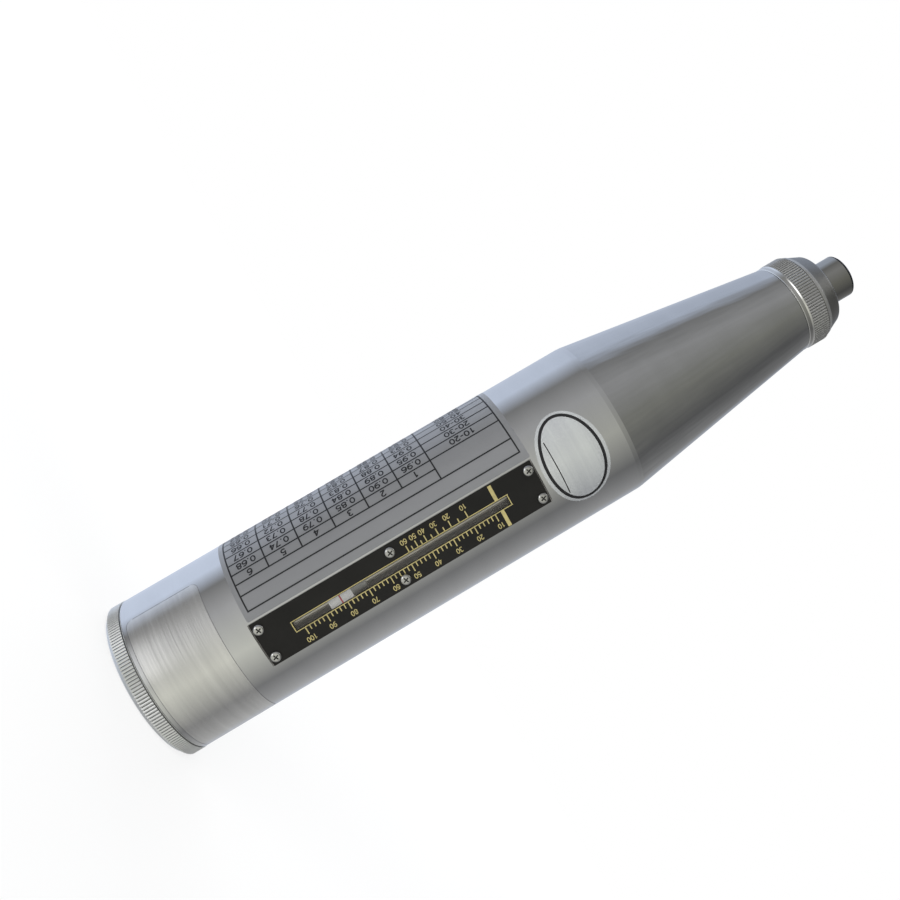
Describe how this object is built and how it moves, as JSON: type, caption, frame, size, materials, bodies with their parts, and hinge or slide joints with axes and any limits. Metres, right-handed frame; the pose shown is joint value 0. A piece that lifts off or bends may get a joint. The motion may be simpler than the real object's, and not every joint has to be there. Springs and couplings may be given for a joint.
{
  "type": "concrete test hammer",
  "caption": "Hand-held rebound hammer: turned metal barrel and taper with knurled caps, sprung plunger, inner hammer and a scale window with a sliding rider.",
  "frame": {"origin": "centre of the rear cap's outer flat face, on which the hammer stands", "axes": "+Z along the axis from the rear cap to the plunger's tip, -Y out of the scale plate, +Y out of the locking button"},
  "size_m": [0.0542, 0.0608, 0.2699],
  "materials": {
    "body": "satin-turned barrel, polished taper",
    "cap": "straight knurl, turned face",
    "nose": "satin, straight knurl and polished bead",
    "plunger": "ground and polished",
    "scale": "satin black with gold print",
    "pane": "clear",
    "screw": "bright",
    "index": "white with a red line",
    "rider": "dull",
    "inner_steel": "ground",
    "hammer": "turned",
    "spring": "drawn wire",
    "sleeve": "turned",
    "felt": "felt",
    "button": "smooth black",
    "bush": "turned"
  },
  "bodies": {
    "housing": {"housing": "body", "rear_cap": "cap", "trip_screw": "inner_steel", "trip_nut": "inner_steel", "return_spring": "spring", "impact_spring": "spring", "spring_seat": "sleeve", "lock_ring": "sleeve", "felt_seal": "felt", "nose_cap": "nose", "scale_plate": "scale", "window_pane": "pane", "plate_screws": "screw", "rider_rod": "inner_steel", "button_bush": "bush", "button_spring": "spring"},
    "plunger": {"plunger": "plunger", "cushion_spring": "spring", "guide_bar": "inner_steel", "guide_flange": "inner_steel", "bar_pin": "inner_steel", "pawl_pin": "inner_steel", "pawl_spring": "spring"},
    "hammer": {"hammer": "hammer"},
    "pawl": {"pawl": "inner_steel"},
    "rider": {"rider_carriage": "rider", "rider_index": "index", "rider_leaf": "inner_steel"},
    "button": {"button": "button"}
  },
  "joints": [
    {"name": "plunger_slide", "type": "slide", "parent": "housing", "child": "plunger", "axis": [0, 0, 1], "range_m": [0, 0.075], "deforming": ["return_spring"]},
    {"name": "hammer_slide", "type": "slide", "parent": "plunger", "child": "hammer", "axis": [0, 0, -1], "range_m": [0, 0.075]},
    {"name": "pawl_trip", "type": "hinge", "parent": "plunger", "child": "pawl", "pos_m": [0.00951, 0, 0.0355], "axis": [0, 1, 0], "range_deg": [-9, 0], "deforming": ["pawl_spring"]},
    {"name": "rider_slide", "type": "slide", "parent": "housing", "child": "rider", "axis": [0, 0, -1], "range_m": [-0.06075, 0.0135]},
    {"name": "button_press", "type": "slide", "parent": "housing", "child": "button", "axis": [0, -1, 0], "range_m": [0, 0.0025], "stiffness_N_per_m": 300, "springref_m": -0.001, "deforming": ["button_spring"]}
  ],
  "couplings": [
    {"joint": "hammer_slide", "follows": "plunger_slide", "ratio": 1}
  ]
}
